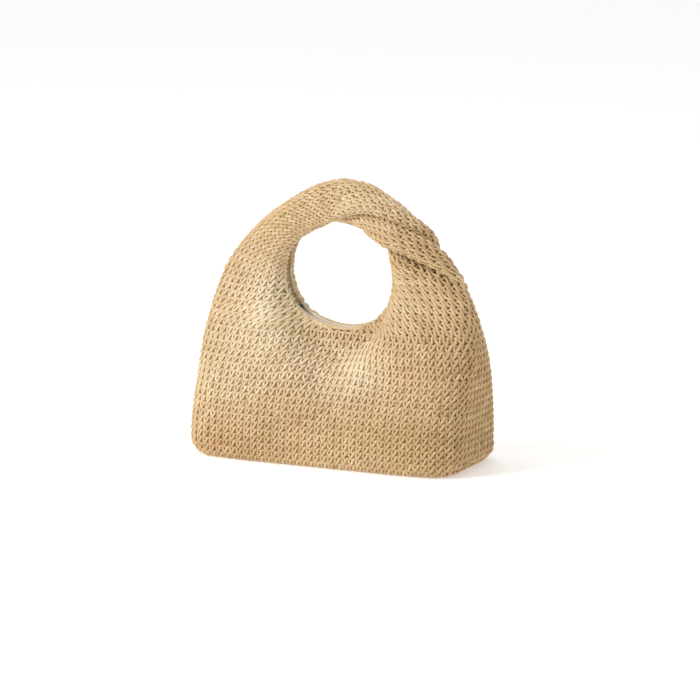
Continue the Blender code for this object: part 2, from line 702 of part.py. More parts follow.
def pull(y_face):
    """Tab with a round eye on the pin, hanging straight down."""
    steps = 20
    r_out, r_in, length, half = 3.6, 1.55, 22.0, 2.6
    y0, y1 = y_face - 1.7, y_face - 0.4
    bm = bmesh.new()
    a0 = math.asin(half / r_out)
    arc = np.linspace(-math.pi / 2 + a0, 1.5 * math.pi - a0, steps)
    outer = [(r_out * math.cos(a), r_out * math.sin(a)) for a in arc]
    end = [(-half, -length + 2), (-half + 1.2, -length), (half - 1.2, -length), (half, -length + 2)]
    shape = outer + end
    hole = [(r_in * math.cos(a), r_in * math.sin(a)) for a in np.linspace(0, 2 * math.pi, steps, endpoint=False)]
    verts = [bm.verts.new(Vector((SLIDER_X + x, y0, ZIP_Z - 1.0 + z)) * MM) for x, z in shape]
    bm.faces.new(verts)
    out = bmesh.ops.extrude_face_region(bm, geom=bm.faces[:])
    new = [g for g in out["geom"] if isinstance(g, bmesh.types.BMVert)]
    bmesh.ops.translate(bm, vec=Vector((0, (y1 - y0) * MM, 0)), verts=new)
    obj = from_bmesh("zip_pull", bm, STEEL, False)
    cutter = turned("pull_eye", [(0, y0 - 2), (r_in, y0 - 2), (r_in, y1 + 2), (0, y1 + 2)], STEEL, SLIDER_X, ZIP_Z - 1.0, 20)
    cutter.hide_render = True
    cutter.display_type = "WIRE"
    m = obj.modifiers.new("eye", "BOOLEAN")
    m.operation = "DIFFERENCE"
    m.object = cutter
    # the tab's own origin sits on the pin's axis
    origin = Vector((SLIDER_X, (y0 + y1) / 2, ZIP_Z - 1.0)) * MM
    for v in obj.data.vertices:
        v.co -= origin
    obj.location = origin


pull(face_y)

# the handle halves turn about the line across the strap roots
for name in ("handle_left", "handle_right"):
    obj = bpy.data.objects[name]
    origin = Vector((0, 0, HINGE_Z)) * MM
    for v in obj.data.vertices:
        v.co -= origin
    obj.location = origin
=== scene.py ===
"""Looks of the crocheted hobo bag: every row is worked as real yarn over the
bag's surface.  Lengths are in millimetres until a mesh is made."""
import math

import bmesh
import bpy
import numpy as np
from mathutils import Matrix, Vector


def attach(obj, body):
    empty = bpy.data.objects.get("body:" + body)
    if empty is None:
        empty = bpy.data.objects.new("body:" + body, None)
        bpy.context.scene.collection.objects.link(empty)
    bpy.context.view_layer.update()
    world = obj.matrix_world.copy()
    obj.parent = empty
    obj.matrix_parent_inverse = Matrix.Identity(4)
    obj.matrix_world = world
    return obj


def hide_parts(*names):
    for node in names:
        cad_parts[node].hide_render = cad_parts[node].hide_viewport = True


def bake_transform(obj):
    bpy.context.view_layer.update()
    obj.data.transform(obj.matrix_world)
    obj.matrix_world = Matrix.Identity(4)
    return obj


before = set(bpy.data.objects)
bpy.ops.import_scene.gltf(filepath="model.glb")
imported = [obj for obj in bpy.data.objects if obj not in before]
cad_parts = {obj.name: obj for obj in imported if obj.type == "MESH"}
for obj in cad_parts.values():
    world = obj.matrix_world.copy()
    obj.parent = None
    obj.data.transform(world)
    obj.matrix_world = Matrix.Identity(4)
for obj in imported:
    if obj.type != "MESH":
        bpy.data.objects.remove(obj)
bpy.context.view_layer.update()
MM = 0.001

# ------------------------------------------------------------ driving sizes
FABRIC = 4.5
BASE_ROUND = 12.0
SIDE_ROUND = 20.0
HOLE_Z = 213.0
HOLE_A_LEFT, HOLE_A_RIGHT = 72.5, 67.0
HOLE_LOW, HOLE_UP = 58.0, 66.0
RIM_HALF_GAP = 11.5
PINCH_RISE, PINCH_RUN = 80.0, 45.0
PINCH_FLAT = 31.0
HINGE_Z = 182.0
LEAN = 2.0
HALF_WIDTH = ((0, 170), (20, 172.5), (60, 172.5), (100, 172.5), (135, 172), (160, 168.5), (185, 162.5), (213, 152.5))
HALF_DEPTH = ((0, 74), (40, 73), (90, 67), (130, 56), (160, 46), (185, 38), (213, 32))
SQUARENESS = ((0, 6.5), (40, 6.0), (90, 4.8), (130, 3.8), (160, 3.1), (213, 2.3))
OUTER_RADIUS = ((0, 152.5), (9, 140.5), (18, 130.0), (30, 120.0), (43, 113.6), (61, 112), (75, 115), (90, 117.5))
HANDLE_DEPTH = ((0, 27), (50, 25), (90, 23.5))
TWIST = ((35, 0), (60, 10), (85, 40), (112, 94), (135, 142), (150, 184), (166, 238), (180, 288), (192, 330), (203, 354), (212, 360))
SLIT = ((-30, 11.5), (-8, 9.0), (10, 10.5), (30, 9.5), (50, 6.0), (70, 2.5), (85, 1.0), (165, 1.0), (185, 7.0), (200, 11.5), (212, 11.5))
FOLD_OPEN = ((-5, 0), (30, 6), (60, 12.5), (150, 12.5), (180, 7), (198, 0))
FOLD_EDGE = ((40, 0), (80, 8), (105, 10), (128, 12), (142, 16), (164, 16), (172, 10), (179, 3), (185, 0))
LAP = 0.55
AHEAD = 0.20
DEG_MM = 1.9

ROW = 8.0             # height of one crochet row
STRAP_COLS = 11.0     # columns from the outer line to the free edge of a strap
FRONT_COLS = 22       # columns from the middle of the front to the side line
RIM_Z = HOLE_Z - HOLE_LOW
ROWS_HALF = 48        # rows from the base to the top of the handle


def curve(x, points):
    p = np.array(points, float)
    px, py = p[:, 0], p[:, 1]
    h = np.diff(px)
    dl = np.diff(py) / h
    m = np.zeros(len(px))
    m[0], m[-1] = dl[0], dl[-1]
    for i in range(1, len(px) - 1):
        if dl[i - 1] * dl[i] > 0:
            a, b = 2 * h[i] + h[i - 1], h[i] + 2 * h[i - 1]
            m[i] = (a + b) / (a / dl[i - 1] + b / dl[i])
    x = np.clip(np.asarray(x, float), px[0], px[-1])
    k = np.clip(np.searchsorted(px, x, side="right") - 1, 0, len(px) - 2)
    t = (x - px[k]) / h[k]
    return (
        py[k] * (2 * t**3 - 3 * t**2 + 1)
        + m[k] * h[k] * (t**3 - 2 * t**2 + t)
        + py[k + 1] * (-2 * t**3 + 3 * t**2)
        + m[k + 1] * h[k] * (t**3 - t**2)
    )


def ease(a, b, x):
    t = np.clip((np.asarray(x, float) - a) / (b - a), 0, 1)
    return t * t * (3 - 2 * t)


def soft_min(a, b, k=4.0):
    a = np.maximum(a, 1e-6)
    return (a**-k + b**-k) ** (-1 / k)


def round_in(z):
    t = np.clip((BASE_ROUND - np.asarray(z, float)) / BASE_ROUND, 0, 1)
    return BASE_ROUND * (1 - np.sqrt(1 - t * t))


def half_width(z):
    t = np.clip((SIDE_ROUND - np.asarray(z, float)) / SIDE_ROUND, 0, 1)
    return curve(z, HALF_WIDTH) - SIDE_ROUND * (1 - np.sqrt(1 - t * t))


def half_depth(z):
    return curve(z, HALF_DEPTH) - round_in(z)


def hole_a(side):
    return HOLE_A_LEFT if side < 0 else HOLE_A_RIGHT


def hole_r(th, side):
    a = np.radians(th)
    c, s = np.abs(np.cos(a)), np.sin(a)
    v = np.where(s > 0, HOLE_UP, HOLE_LOW)
    n = np.where(s > 0, 2.15, 2.0)
    return 1.0 / ((c / hole_a(side)) ** n + (np.abs(s) / v) ** n) ** (1 / n)


def hole_x(z, side):
    t = np.clip((HOLE_Z - np.asarray(z, float)) / HOLE_LOW, -1, 1)
    return hole_a(side) * np.sqrt(np.maximum(0, 1 - t * t)) * (np.asarray(z) > RIM_Z)


def from_rim(x, z, side):
    dz = z - HOLE_Z
    th = np.degrees(np.arctan2(dz, np.abs(x) + 1e-9))
    return np.maximum(0, np.hypot(x, dz) - hole_r(th, side))


def pinch(rho):
    return RIM_HALF_GAP + PINCH_RISE * (1 - np.exp(-np.maximum(rho, 0) / PINCH_RUN))


def wall_y(x, z, side):
    w, d, n = half_width(z), half_depth(z), curve(z, SQUARENESS)
    envelope = d * np.maximum(0, 1 - np.minimum(1, np.abs(x) / w) ** n) ** (1 / n)
    rho = from_rim(x, z, side)
    flat = PINCH_FLAT * np.exp(-((x / 50.0) ** 2)) * ease(HOLE_Z - 20, RIM_Z, z)
    rho = ((rho - flat) + np.sqrt((rho - flat) ** 2 + 9)) / 2
    return soft_min(envelope, pinch(rho) + 60 * ease(100, 20, z), 6.0)


def lean(z):
    return -LEAN + 2 * LEAN * ease(20, 130, z)


ARC_SAMPLES = 161


def position(kind, p, side):
    if kind == "turn":
        return p
    return -(HOLE_Z - p) / DEG_MM if side < 0 else 180 + (HOLE_Z - p) / DEG_MM


def half_section(kind, p, side):
    t = np.linspace(0, 1, ARC_SAMPLES)
    q = np.sin(t * math.pi / 2) ** 1.15
    if kind == "level":
        xi, w = float(hole_x(p, side)), float(half_width(p))
        r = xi + (w - xi) * q
        y = wall_y(r, np.full_like(r, p), side)
        y[-1] = 0
        return r, y
    s = -1 if p <= 90 else 1
    th = p if p <= 90 else 180 - p
    mix = float(ease(60, 90, th))
    ri = float(hole_r(th, s)) * (1 - mix) + HOLE_UP * mix
    ro = float(curve(th, OUTER_RADIUS))
    r = ri + (ro - ri) * q
    d, n = float(curve(213, HALF_DEPTH)), float(curve(213, SQUARENESS))
    envelope = d * np.maximum(0, 1 - (r / ro) ** n) ** (1 / n)
    flat0 = soft_min(envelope, pinch(r - ri), 6.0)
    flat0[-1] = 0
    m = float(ease(4, 48, th))
    b = float(curve(th, HANDLE_DEPTH))
    tube = b * np.maximum(0, 1 - np.abs(2 * q - 1) ** 2.15) ** (1 / 2.15)
    return r, (1 - m) * flat0 + m * tube


class Section:
    """Outline of one station as an even closed polyline with normals."""

    def __init__(self, kind, p, side):
        self.kind, self.p, self.side = kind, p, side
        r, y = half_section(kind, p, side)
        pts = np.concatenate([
            [[r[0], 0.0]], np.stack([r, -y], 1)[:-1], [[r[-1], 0.0]],
            np.stack([r, y], 1)[:-1][::-1], [[r[0], 0.0]],
        ])
        step = np.hypot(*np.diff(pts, axis=0).T)
        pts = pts[np.concatenate([[True], step > 1e-6])]
        length = np.concatenate([[0], np.cumsum(np.hypot(*np.diff(pts, axis=0).T))])
        self.total = length[-1]
        self.even = np.linspace(0, self.total, 481)
        q = np.stack([np.interp(self.even, length, pts[:, i]) for i in (0, 1)], 1)
        for _ in range(6):
            body = (np.roll(q[:-1], 1, 0) + 2 * q[:-1] + np.roll(q[:-1], -1, 0)) / 4
            q = np.concatenate([body, body[:1]])
        tan = np.roll(q[:-1], -1, 0) - np.roll(q[:-1], 1, 0)
        tan = np.concatenate([tan, tan[:1]])
        tan /= np.linalg.norm(tan, axis=1)[:, None]
        nor = np.stack([-tan[:, 1], tan[:, 0]], 1)
        if np.sum((q[:-1].mean(0) - q) * nor) < 0:
            nor = -nor
        self.t = position(kind, p, side)
        self.turn = float(curve(self.t, TWIST)) / 360.0
        self.slit = float(curve(self.t, SLIT))
        sg = self.even / self.total
        tan = np.roll(q[:-1], -1, 0) - np.roll(q[:-1], 1, 0)
        tan = np.concatenate([tan, tan[:1]])
        tan /= np.linalg.norm(tan, axis=1)[:, None]
        move = np.zeros_like(q)
        ahead = AHEAD * float(ease(95, 125, self.t))
        for mark, table, under in ((self.turn, FOLD_OPEN, 11.0), (self.turn + 0.5 + ahead, FOLD_EDGE, 17.0)):
            depth = float(curve(self.t, table))
            d = self.signed(sg, mark)
            over = np.maximum(d, 0)
            sink = np.where(d < 0, np.exp(-((d / under) ** 2)), np.exp(-((d / 4.0) ** 2)))
            swell = 0.30 * np.exp(-(((d - 10.0) / 8.0) ** 2)) * (1 - np.exp(-((over / 4.0) ** 2)))
            lap = LAP * (1 - np.exp(-((over / 2.5) ** 2))) * np.exp(-((over / 9.0) ** 2))
            move += nor * (depth * (sink - swell))[:, None] - tan * (depth * lap)[:, None]
        q = q + move
        self.q = q
        self.fabric_half = self.total / 2 - self.slit

    def signed(self, sigma, mark):
        """Distance along the outline past a fold: the side past it laps over."""
        return (np.mod(sigma - mark + 0.5, 1.0) - 0.5) * self.total

    def at(self, u):
        sigma = 0.5 + 0.5 * np.asarray(u) * (1 - 2 * self.slit / self.total) + self.turn
        s = np.mod(sigma, 1.0) * self.total
        r = np.interp(s, self.even, self.q[:, 0])
        y = np.interp(s, self.even, self.q[:, 1])
        if self.kind == "level":
            out = np.stack([self.side * r, y, np.full_like(r, self.p)], -1)
        else:
            a = math.radians(self.p)
            out = np.stack([-math.cos(a) * r, y, HOLE_Z + math.sin(a) * r], -1)
        return out


# ---------------------------------------------------------- the fabric's grid
V_STEP, K_STEP = 0.25, 0.25
V_STRAP = RIM_Z / ROW
V_HANDLE = HOLE_Z / ROW
V_CLOSE = 179.0 / ROW        # from here up the cloth under the yarn closes the mouth
DEG_ROW = 90.0 / (ROWS_HALF - V_HANDLE)
K_LOW, K_HIGH = -1.0, 31.0
KS = np.arange(K_LOW, K_HIGH + 1e-6, K_STEP)
VS = np.arange(0, ROWS_HALF + 1.0 + 1e-6, V_STEP)


def across(r):
    """How much of the depth counts when columns are measured out from the
    middle: none on the front, all of it round the corner."""
    return ease(95, 150, np.abs(r))


def gather(z):
    """The share of the depth that counts where the walls run in to the mouth."""
    return 0.6 * float(ease(90, 140, z))


def measured(x, y, z):
    w = across(0.5 * (x[1:] + x[:-1]))
    w = 1 - (1 - w) * (1 - gather(z))
    return np.concatenate([[0], np.cumsum(np.hypot(np.diff(x), w * np.diff(y)))])


def quarter_arc(z, side):
    x, y = half_section("level", z, side)
    y = y.copy()
    y[-1] = 0
    return x, y, measured(x, y, z)


_, _, _arc = quarter_arc(RIM_Z - 0.01, 1)
PITCH = _arc[-1] / FRONT_COLS


def build_grid(side):
    """Outer surface points for the front and back quarter of one side."""
    grids = {-1: [], 1: []}
    k_min, k_max, k_close = [], [], []
    for v in VS:
        if v < V_STRAP:
            z = v * ROW
            x, y, arc = quarter_arc(max(z, 0.0), side)
            total = arc[-1]
            s = KS * PITCH
            over = s > total
            s2 = np.where(over, 2 * total - s, s)
            mirror = s2 < 0
            s3 = np.abs(s2)
            px, py = np.interp(s3, arc, x), np.interp(s3, arc, y)
            px = np.where(mirror, -px, px)
            py = np.where(over, -py, py)
            for face in (-1, 1):
                grids[face].append(np.stack([side * px, face * py, np.full_like(px, z)], -1))
            k_min.append(0.0)
            k_max.append(total / PITCH)
            k_close.append(0.0)
            continue
        if v <= V_HANDLE:
            z = v * ROW
            sec = Section("level", z, side)
        else:
            z = HOLE_Z
            t = (v - V_HANDLE) * DEG_ROW
            sec = Section("turn", t if side < 0 else 180 - t, side)
        mix = float(ease(V_STRAP, V_HANDLE, v))
        flat = float(1 - ease(V_HANDLE - 3, V_HANDLE + 2, v))
        uu = np.linspace(0, 1.25, 251)
        here = []
        for face in (-1, 1):
            pts = sec.at(face * uu)
            r = np.abs(pts[:, 0])
            w = across(0.5 * (r[1:] + r[:-1]))
            w = 1 - flat * (1 - w) * (1 - gather(z))
            d = np.diff(pts, axis=0)
            step = np.sqrt(d[:, 0] ** 2 + d[:, 2] ** 2 + (w * d[:, 1]) ** 2)
            here.append(np.concatenate([[0], np.cumsum(step)]))
        reach = [float(np.interp(1.0, uu, m)) for m in here]
        width = sum(reach) / 2
        pitch = PITCH * (1 - mix) + width / STRAP_COLS * mix
        for face, m, full in zip((-1, 1), here, reach):
            a = (FRONT_COLS - KS) * pitch * full / width
            u = np.interp(np.abs(a), m, uu) * np.sign(a)
            grids[face].append(sec.at(face * u))
        shut = 0.5 * sec.total / sec.fabric_half
        k_min.append(FRONT_COLS - width / pitch)
        k_max.append(float(FRONT_COLS))
        k_close.append(FRONT_COLS - width / pitch - (shut - 1) * width / pitch)
    k_min, k_max, k_close = np.array(k_min), np.array(k_max), np.array(k_close)
    for face in (-1, 1):
        g = np.array(grids[face])
        # between the belly and the mouth the rows lie evenly along the fabric
        lo = int(round(0.50 * V_STRAP / V_STEP))
        hi = int(math.floor(V_STRAP / V_STEP - 1e-6))
        part = g[lo : hi + 1]
        run = np.linalg.norm(np.diff(part, axis=0), axis=2)
        run = np.concatenate([np.zeros((1, run.shape[1])), np.cumsum(run, axis=0)])
        even = np.linspace(0, 1, len(part))
        level = np.empty_like(part)
        for j in range(part.shape[1]):
            for c in range(3):
                level[:, j, c] = np.interp(even * run[-1, j], run[:, j], part[:, j, c])
        use = 1 - ease(120, 150, np.abs(part[..., :1]))
        g[lo : hi + 1] = part * (1 - use) + level * use
        at = int(round(V_STRAP / V_STEP))
        for _ in range(14):
            soft = g.copy()
            soft[1:-1] = (g[:-2] + 2 * g[1:-1] + g[2:]) / 4
            mix = np.zeros((len(VS), 1, 1))
            mix[at - 8 : at + 9, 0, 0] = np.hanning(19)[1:-1]
            mix = mix * ease(62, 90, np.abs(g[..., :1]))
            g = g * (1 - mix) + soft * mix
        g[..., 0] += lean(g[..., 2])
        grids[face] = g
    return grids, k_min, k_max, k_close


GRID, K_MIN, K_MAX, K_CLOSE, NORMAL = {}, {}, {}, {}, {}
for side in (-1, 1):
    grids, K_MIN[side], K_MAX[side], K_CLOSE[side] = build_grid(side)
    for face in (-1, 1):
        g = grids[face]
        dv = np.gradient(g, axis=0)
        dk = np.gradient(g, axis=1)
        n = np.cross(dk, dv) * (side * -face)
        n /= np.linalg.norm(n, axis=-1)[..., None] + 1e-12
        for _ in range(1):
            n2 = n.copy()
            n2[1:-1, 1:-1] = (n[1:-1, 1:-1] * 2 + n[:-2, 1:-1] + n[2:, 1:-1] + n[1:-1, :-2] + n[1:-1, 2:]) / 6
            n = n2 / (np.linalg.norm(n2, axis=-1)[..., None] + 1e-12)
        GRID[side, face], NORMAL[side, face] = g, n


def sample(side, face, v, k):
    """Points and outward normals at these rows and columns."""
    g, n = GRID[side, face], NORMAL[side, face]
    fv = np.clip(np.asarray(v) / V_STEP, 0, len(VS) - 1.001)
    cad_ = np.clip((np.asarray(k) - K_LOW) / K_STEP, 0, len(KS) - 1.001)
    i, j = fv.astype(int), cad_.astype(int)
    a, b = (fv - i)[..., None], (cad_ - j)[..., None]

    def mix(f):
        return f[i, j] * (1 - a) * (1 - b) + f[i + 1, j] * a * (1 - b) + f[i, j + 1] * (1 - a) * b + f[i + 1, j + 1] * a * b

    p, q = mix(g), mix(n)
    return p, q / (np.linalg.norm(q, axis=-1)[..., None] + 1e-12)


def keep_off_hole(p, side, face, margin=1.2):
    """Moves points that fall inside the mouth's opening out to its edge."""
    x, z = p[..., 0] - lean(p[..., 2]), p[..., 2]
    dz = z - HOLE_Z
    rr = np.hypot(x, dz)
    th = np.degrees(np.arctan2(dz, np.abs(x) + 1e-9))
    need = hole_r(th, side) + margin
    low = (z < HOLE_Z - 30) & (rr < need)
    f = np.where(low, need / np.maximum(rr, 1e-6), 1.0)
    nx, nz = x * f, HOLE_Z + dz * f
    ny = face * wall_y(np.abs(nx), nz, side)
    out = np.stack([nx + lean(nz), ny, nz], -1)
    out = np.where(low[..., None], out, p)
    near = (z < HOLE_Z - 30) & (rr < need + 8)
    least = wall_y(np.abs(out[..., 0] - lean(out[..., 2])), out[..., 2], side) - 2.0
    out[..., 1] = np.where(near, face * np.maximum(face * out[..., 1], least), out[..., 1])
    return out


# ----------------------------------------------------------------- mesh tools
def new_mesh(name, verts, faces, smooth=True):
    mesh = bpy.data.meshes.new(name)
    verts = np.asarray(verts, np.float64) * MM
    faces = np.asarray(faces, np.int64)
    n = faces.shape[1]
    mesh.vertices.add(len(verts))
    mesh.vertices.foreach_set("co", verts.ravel())
    mesh.loops.add(faces.size)
    mesh.loops.foreach_set("vertex_index", faces.ravel())
    mesh.polygons.add(len(faces))
    mesh.polygons.foreach_set("loop_start", np.arange(0, faces.size, n))
    mesh.polygons.foreach_set("loop_total", np.full(len(faces), n))
    mesh.update(calc_edges=True)
    if smooth:
        mesh.shade_smooth()
    return mesh


class Yarns:
    """Collects tubes swept along paths, with the yarn's own coordinates."""

    def __init__(self, sides=6):
        self.sides = sides
        self.v, self.f, self.uv, self.tone = [], [], [], []
        self.count = 0

    def add(self, path, up, radius, tone, flat=1.0):
        """path (n,3), up (n,3) outward normals, radius scalar or (n,)"""
        path = np.asarray(path, float)
        n = len(path)
        if n < 3:
            return
        tan = np.gradient(path, axis=0)
        tan /= np.linalg.norm(tan, axis=1)[:, None] + 1e-12
        side = np.cross(tan, up)
        ln = np.linalg.norm(side, axis=1)[:, None]
        side = side / np.maximum(ln, 1e-6)
        nor = np.cross(side, tan)
        ang = np.linspace(0, 2 * math.pi, self.sides, endpoint=False)
        r = np.broadcast_to(np.asarray(radius, float), (n,))
        ring = (
            path[:, None, :]
            + (np.cos(ang)[None, :, None] * side[:, None, :] + flat * np.sin(ang)[None, :, None] * nor[:, None, :]) * r[:, None, None]
        )
        length = np.concatenate([[0], np.cumsum(np.linalg.norm(np.diff(path, axis=0), axis=1))])
        s = self.sides
        base = self.count
        i = np.arange(n - 1)[:, None] * s
        j = np.arange(s)[None, :]
        jn = (j + 1) % s
        quads = np.stack([i + j, i + jn, i + s + jn, i + s + j], -1).reshape(-1, 4) + base
        self.v.append(ring.reshape(-1, 3))
        self.f.append(quads)
        u0 = np.broadcast_to((j / s), (n - 1, s))
        u1 = np.broadcast_to(((j + 1) / s), (n - 1, s))
        l0 = np.broadcast_to(length[:-1, None], (n - 1, s))
        l1 = np.broadcast_to(length[1:, None], (n - 1, s))
        uv = np.stack([np.stack([l0, u0], -1), np.stack([l0, u1], -1), np.stack([l1, u1], -1), np.stack([l1, u0], -1)], -2)
        self.uv.append(uv.reshape(-1, 2))
        t = np.broadcast_to(np.asarray(tone, float), (n,))
        self.tone.append(np.repeat(t, s))
        self.count += n * s
        # closed ends
        for k, order in ((0, -1), (n - 1, 1)):
            self.v.append(path[k][None, :])
            ids = base + k * s + np.arange(s)
            nxt = base + k * s + (np.arange(s) + 1) % s
            c = np.full(s, self.count)
            tri = np.stack([ids, nxt, c, c], -1) if order > 0 else np.stack([nxt, ids, c, c], -1)
            self.f.append(tri)
            self.uv.append(np.zeros((s * 4, 2)))
            self.tone.append(np.array([t[k]]))
            self.count += 1

    def build(self, name, material):
        verts = np.concatenate(self.v)
        verts[:, 2] = np.maximum(verts[:, 2], 0.15)
        faces = np.concatenate(self.f)
        uv = np.concatenate(self.uv)
        tri = faces[:, 2] == faces[:, 3]
        loops = np.where(np.repeat(tri, 4) & (np.tile(np.arange(4), len(faces)) == 3), False, True)
        flat = faces.ravel()[loops]
        counts = np.where(tri, 3, 4)
        mesh = bpy.data.meshes.new(name)
        mesh.vertices.add(len(verts))
        mesh.vertices.foreach_set("co", (verts * MM).ravel())
        mesh.loops.add(len(flat))
        mesh.loops.foreach_set("vertex_index", flat)
        mesh.polygons.add(len(faces))
        mesh.polygons.foreach_set("loop_start", np.concatenate([[0], np.cumsum(counts)[:-1]]))
        mesh.polygons.foreach_set("loop_total", counts)
        mesh.update(calc_edges=True)
        mesh.shade_smooth()
        layer = mesh.uv_layers.new(name="yarn")
        layer.data.foreach_set("uv", uv[loops].ravel())
        att = mesh.attributes.new("tone", "FLOAT", "POINT")
        att.data.foreach_set("value", np.concatenate(self.tone).astype(np.float32))
        # painted light: pale lit patches stored for the material
        att = mesh.attributes.new("painted_light", "FLOAT", "POINT")
        att.data.foreach_set("value", painted_light_at(verts).astype(np.float32))
        obj = bpy.data.objects.new(name, mesh)
        bpy.context.scene.collection.objects.link(obj)
        mesh.materials.append(material)
        return obj


# ------------------------------------------------------------------ materials
def nodes_of(name):
    m = bpy.data.materials.new(name)
    m.use_nodes = True
    nt = m.node_tree
    return m, nt, nt.nodes, nt.links, nt.nodes["Principled BSDF"]


def ramp(nodes, stops):
    r = nodes.new("ShaderNodeValToRGB")
    e = r.color_ramp.elements
    while len(e) < len(stops):
        e.new(0.5)
    for el, (p, c) in zip(e, stops):
        el.position = p
        el.color = (*c, 1)
    return r


def mix_rgb(nodes, links, kind, fac, a, b):
    m = nodes.new("ShaderNodeMix")
    m.data_type = "RGBA"
    m.blend_type = kind
    for sock, val in ((m.inputs[0], fac), (m.inputs[6], a), (m.inputs[7], b)):
        if hasattr(val, "is_linked") or hasattr(val, "links"):
            links.new(val, sock)
        else:
            sock.default_value = val if not isinstance(val, tuple) else (*val, 1)
    return m.outputs[2]


def math_node(nodes, links, op, a, b=None, clamp=False):
    m = nodes.new("ShaderNodeMath")
    m.operation = op
    m.use_clamp = clamp
    for sock, val in ((m.inputs[0], a), (m.inputs[1], b)):
        if val is None:
            continue
        if hasattr(val, "links"):
            links.new(val, sock)
        else:
            sock.default_value = val
    return m.outputs[0]


def straw_material(name, shade_gain=1.0):
    """Paper straw: long fibres along the yarn, twisted a little, with tone that drifts from stitch to stitch and
    over the bag, and a paler colour mixed in where light is painted into the straw."""
    m, nt, nodes, links, bsdf = nodes_of(name)
    uv = nodes.new("ShaderNodeUVMap")
    uv.uv_map = "yarn"
    sep = nodes.new("ShaderNodeSeparateXYZ")
    links.new(uv.outputs[0], sep.inputs[0])
    # fibres: bands round the yarn that drift slowly along it
    turn = math_node(nodes, links, "MULTIPLY", sep.outputs[0], 0.045)
    around = math_node(nodes, links, "ADD", sep.outputs[1], turn)
    comb = nodes.new("ShaderNodeCombineXYZ")
    links.new(math_node(nodes, links, "MULTIPLY", around, 9.0), comb.inputs[0])
    links.new(math_node(nodes, links, "MULTIPLY", sep.outputs[0], 0.12), comb.inputs[1])
    fibre = nodes.new("ShaderNodeTexNoise")
    fibre.inputs["Scale"].default_value = 1.6
    fibre.inputs["Detail"].default_value = 3.0
    fibre.inputs["Roughness"].default_value = 0.65
    links.new(comb.outputs[0], fibre.inputs["Vector"])
    tone = nodes.new("ShaderNodeAttribute")
    tone.attribute_name = "tone"
    geo = nodes.new("ShaderNodeTexCoord")
    broad = nodes.new("ShaderNodeTexNoise")
    broad.inputs["Scale"].default_value = 11.0
    broad.inputs["Detail"].default_value = 2.0
    links.new(geo.outputs["Object"], broad.inputs["Vector"])
    base = ramp(nodes, [(0.0, (0.31, 0.175, 0.072)), (0.35, (0.53, 0.345, 0.165)), (0.65, (0.71, 0.525, 0.305)), (1.0, (0.88, 0.76, 0.54))])
    s = math_node(nodes, links, "ADD", math_node(nodes, links, "MULTIPLY", tone.outputs["Fac"], 0.75), math_node(nodes, links, "MULTIPLY", fibre.outputs[0], 0.32), True)
    links.new(s, base.inputs[0])
    hue = ramp(nodes, [(0.30, (1.0, 0.93, 0.84)), (0.5, (1.0, 0.97, 0.93)), (0.70, (0.965, 0.985, 0.86))])
    links.new(broad.outputs[0], hue.inputs[0])
    # paler ramp: the colour used where light is painted
    painted_light_shade = ramp(nodes, [(0.0, (0.37, 0.25, 0.14)), (0.35, (0.62, 0.475, 0.30)), (0.65, (0.82, 0.71, 0.52)), (1.0, (0.96, 0.90, 0.76))])
    links.new(s, painted_light_shade.inputs[0])
    # painted light: mixes the paler ramp in where the lit patches are painted
    painted_light = nodes.new("ShaderNodeAttribute")
    painted_light.attribute_name = "painted_light"
    body = mix_rgb(nodes, links, "MIX", painted_light.outputs["Fac"], base.outputs[0], painted_light_shade.outputs[0])
    col = mix_rgb(nodes, links, "MULTIPLY", 0.85, body, hue.outputs[0])
    # a gain below 1 makes a darker copy of the straw: painted shade
    if shade_gain != 1.0:
        col = mix_rgb(nodes, links, "MULTIPLY", 1.0, col, (shade_gain, shade_gain * 0.97, shade_gain * 0.92))
    links.new(col, bsdf.inputs["Base Color"])
    rough = nodes.new("ShaderNodeMapRange")
    rough.inputs[1].default_value, rough.inputs[2].default_value = 0.3, 0.7
    rough.inputs[3].default_value, rough.inputs[4].default_value = 0.52, 0.78
    links.new(fibre.outputs[0], rough.inputs[0])
    links.new(rough.outputs[0], bsdf.inputs["Roughness"])
    bump = nodes.new("ShaderNodeBump")
    bump.inputs["Strength"].default_value = 0.6
    bump.inputs["Distance"].default_value = 0.0004
    links.new(fibre.outputs[0], bump.inputs["Height"])
    links.new(bump.outputs[0], bsdf.inputs["Normal"])
    bsdf.inputs["Specular IOR Level"].default_value = 0.35
    bsdf.inputs["Sheen Weight"].default_value = 0.15
    bsdf.inputs["Sheen Roughness"].default_value = 0.5
    return m


